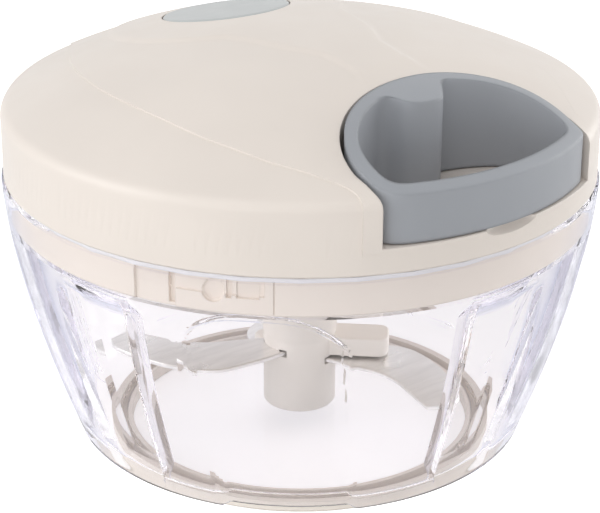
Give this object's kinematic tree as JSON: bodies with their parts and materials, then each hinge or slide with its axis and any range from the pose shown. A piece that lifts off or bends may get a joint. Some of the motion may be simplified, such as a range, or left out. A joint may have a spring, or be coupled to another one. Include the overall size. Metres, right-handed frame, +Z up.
{
  "type": "vegetable chopper",
  "caption": "Round hand chopper: clear fluted bowl, curved blades on a spindle, and a domed lid whose pull handle and cord turn the blades through a one-way clutch.",
  "frame": {"origin": "centre of the foot ring's underside, where the chopper stands", "axes": "+Z up along the spindle, -Y towards the pull handle, +X to the right seen from the handle"},
  "size_m": [0.125, 0.125, 0.0908],
  "materials": {
    "clear_plastic": "clear, polished, faint blue edge tint",
    "soft_foot": "soft cream rubber",
    "cream_plastic": "cream, satin gloss",
    "blue_grey_plastic": "blue grey, satin gloss",
    "light_grey_plastic": "light grey, satin",
    "blade_steel": "stainless, ground edge",
    "steel": "plain",
    "spring_steel": "blued strip",
    "seal_rubber": "soft cream",
    "nylon": "natural white",
    "cord": "braided cord"
  },
  "bodies": {
    "bowl": {"bowl": "clear_plastic", "foot_ring": "soft_foot", "pivot_pin": "steel"},
    "lid_seal": {"lid_seal": "seal_rubber"},
    "lid": {"lid_shell": "cream_plastic", "lid_base": "cream_plastic", "lid_screw_1": "steel", "lid_screw_2": "steel", "lid_screw_3": "steel", "lid_screw_4": "steel", "disc_cap": "light_grey_plastic", "cord_eyelet": "nylon", "pull_cord": "cord", "spool_axle": "steel", "axle_washer": "steel", "axle_screw": "steel", "recoil_spring": "spring_steel", "drive_bush": "nylon"},
    "handle": {"pull_handle": "blue_grey_plastic", "cord_knot": "cord"},
    "spool": {"cord_spool": "nylon", "cord_winding": "cord", "spring_cover": "nylon", "pawl_pin_1": "steel", "pawl_pin_2": "steel"},
    "pawl_1": {"pawl_1": "steel"},
    "pawl_2": {"pawl_2": "steel"},
    "drive": {"drive_cup": "nylon"},
    "blades": {"blade_hub": "cream_plastic", "blade_upper": "blade_steel", "blade_middle": "blade_steel", "blade_lower": "blade_steel"}
  },
  "joints": [
    {"name": "lid_lift", "type": "slide", "parent": "bowl", "child": "lid_seal", "axis": [0, 0, 1], "range_m": [0, 0.075]},
    {"name": "lid_twist", "type": "hinge", "parent": "lid_seal", "child": "lid", "pos_m": [0, 0, 0.06], "axis": [0, 0, 1], "range_deg": [-16.8, 0]},
    {"name": "handle_pull", "type": "slide", "parent": "lid", "child": "handle", "axis": [0, -1, 0], "range_m": [0, 0.32], "stiffness_N_per_m": 15, "springref_m": -0.05},
    {"name": "spool_spin", "type": "hinge", "parent": "lid", "child": "spool", "pos_m": [0, 0, 0.074], "axis": [0, 0, 1], "range_deg": [0, 956]},
    {"name": "pawl_1_swing", "type": "hinge", "parent": "spool", "child": "pawl_1", "pos_m": [0.00948, 0.00062, 0.067], "axis": [0, 0, 1], "range_deg": [0, 18], "stiffness_Nm_per_rad": 0.001},
    {"name": "pawl_2_swing", "type": "hinge", "parent": "spool", "child": "pawl_2", "pos_m": [-0.00948, -0.00062, 0.067], "axis": [0, 0, 1], "range_deg": [0, 18], "stiffness_Nm_per_rad": 0.001},
    {"name": "drive_spin", "type": "hinge", "parent": "lid", "child": "drive", "pos_m": [0, 0, 0.0655], "axis": [0, 0, 1], "range_deg": [0, 956]},
    {"name": "blade_spin", "type": "hinge", "parent": "bowl", "child": "blades", "pos_m": [0, 0, 0.012], "axis": [0, 0, 1], "range_deg": [0, 956]}
  ],
  "couplings": [
    {"joint": "spool_spin", "follows": "handle_pull", "rad_per_m": 52.083},
    {"joint": "drive_spin", "follows": "handle_pull", "rad_per_m": 52.083},
    {"joint": "blade_spin", "follows": "handle_pull", "rad_per_m": 52.083}
  ]
}
